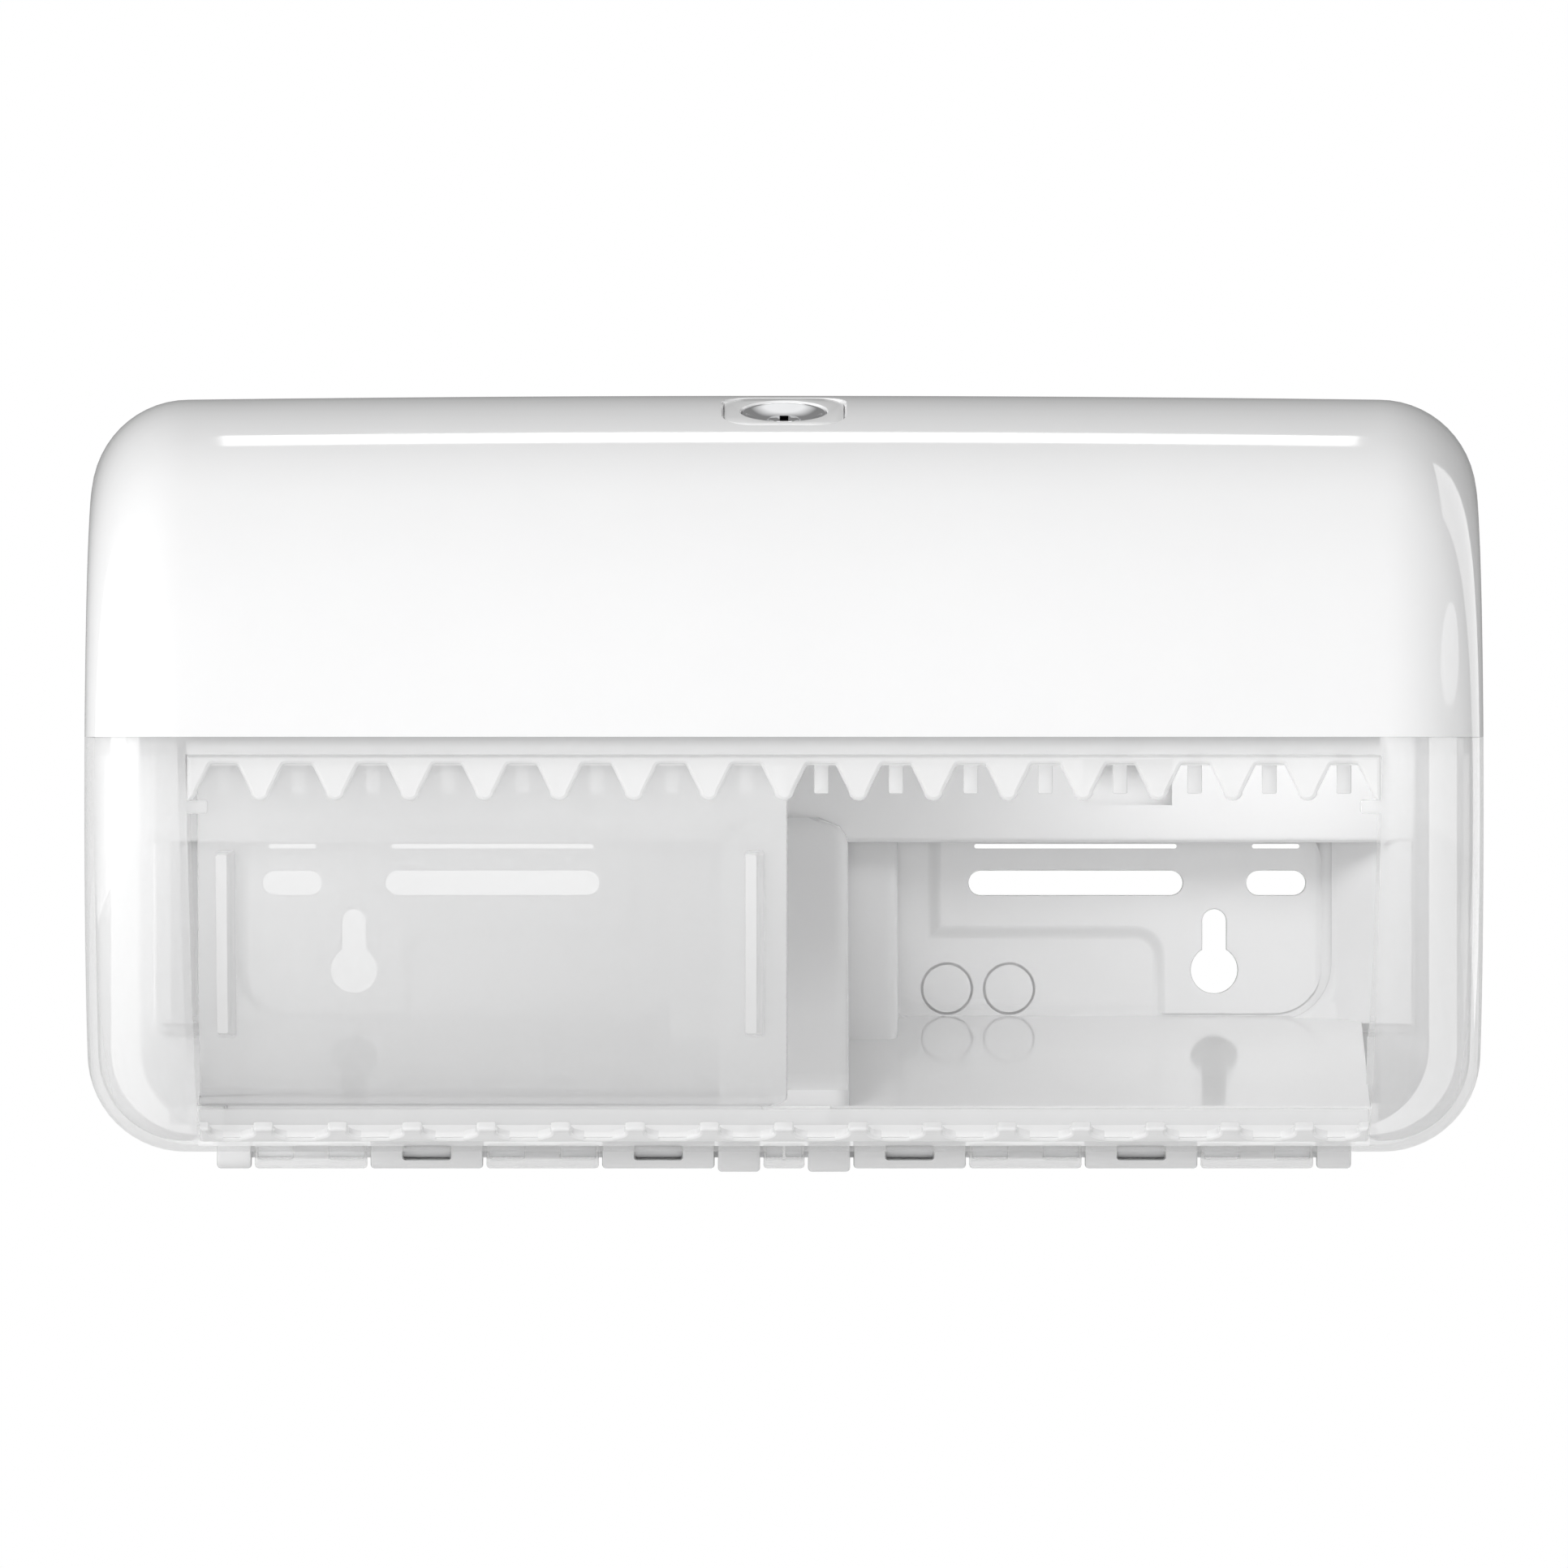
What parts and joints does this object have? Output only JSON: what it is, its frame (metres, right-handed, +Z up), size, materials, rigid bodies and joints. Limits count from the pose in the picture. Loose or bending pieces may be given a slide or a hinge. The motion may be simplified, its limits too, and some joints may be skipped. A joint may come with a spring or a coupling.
{
  "type": "double roll toilet paper dispenser",
  "caption": "Wall dispenser for two toilet rolls side by side: hinged white and clear cover, sliding door, toothed tear edges and a keyed top lock.",
  "frame": {"origin": "middle of the back panel, on the wall face", "axes": "+X to the right seen from the front, -Y out of the wall towards the user, +Z up"},
  "size_m": [0.286, 0.1529, 0.1612],
  "materials": {
    "panel_white": "smooth moulded white plastic",
    "shell_white": "high gloss white plastic",
    "window_clear": "clear plastic with a faint grey milkiness",
    "bar_clear": "frosted translucent plastic",
    "door_clear": "lightly frosted translucent plastic",
    "track_white": "smooth white plastic",
    "glide_white": "satin white plastic",
    "lock_white": "smooth white plastic",
    "latch_white": "satin white plastic",
    "lock_chrome": "polished chrome",
    "lock_steel": "turned steel",
    "rod_steel": "drawn steel",
    "catch_steel": "pressed sheet steel",
    "screw_steel": "zinc plated steel"
  },
  "bodies": {
    "base": {"back_panel": "panel_white", "catch_plate": "catch_steel", "catch_screw_left": "screw_steel", "catch_screw_right": "screw_steel", "hinge_rod_left": "rod_steel", "hinge_rod_right": "rod_steel", "rod_clip_left": "panel_white", "rod_clip_right": "panel_white"},
    "cover": {"front_shell": "shell_white", "cover_window": "window_clear", "upper_tear_bar": "bar_clear", "lower_tear_bar": "bar_clear", "upper_track": "track_white", "lower_track": "track_white", "lock_housing": "lock_white", "lock_bezel": "lock_chrome", "lock_nut": "lock_white", "latch_guide": "latch_white", "guide_screw_left": "screw_steel", "guide_screw_right": "screw_steel"},
    "door": {"sliding_door": "door_clear", "door_glide_left": "glide_white", "door_glide_right": "glide_white"},
    "lock": {"lock_barrel": "lock_steel", "lock_cam": "lock_steel", "lock_cam_screw": "screw_steel"},
    "latch": {"latch_slider": "latch_white"}
  },
  "joints": [
    {"name": "cover_hinge", "type": "hinge", "parent": "base", "child": "cover", "pos_m": [0, -0.012, -0.0768], "axis": [1, 0, 0], "range_deg": [0, 95]},
    {"name": "door_slide", "type": "slide", "parent": "cover", "child": "door", "axis": [1, 0, 0], "range_m": [0, 0.119]},
    {"name": "lock_turn", "type": "hinge", "parent": "cover", "child": "lock", "pos_m": [0, -0.09003, 0.07682], "axis": [0, -0.2504, 0.9681], "range_deg": [0, 90]},
    {"name": "latch_slide", "type": "slide", "parent": "cover", "child": "latch", "axis": [1, 0, 0], "range_m": [0, 0.005]}
  ],
  "couplings": [
    {"joint": "lock_turn", "follows": "latch_slide", "rad_per_m": 314.15}
  ]
}
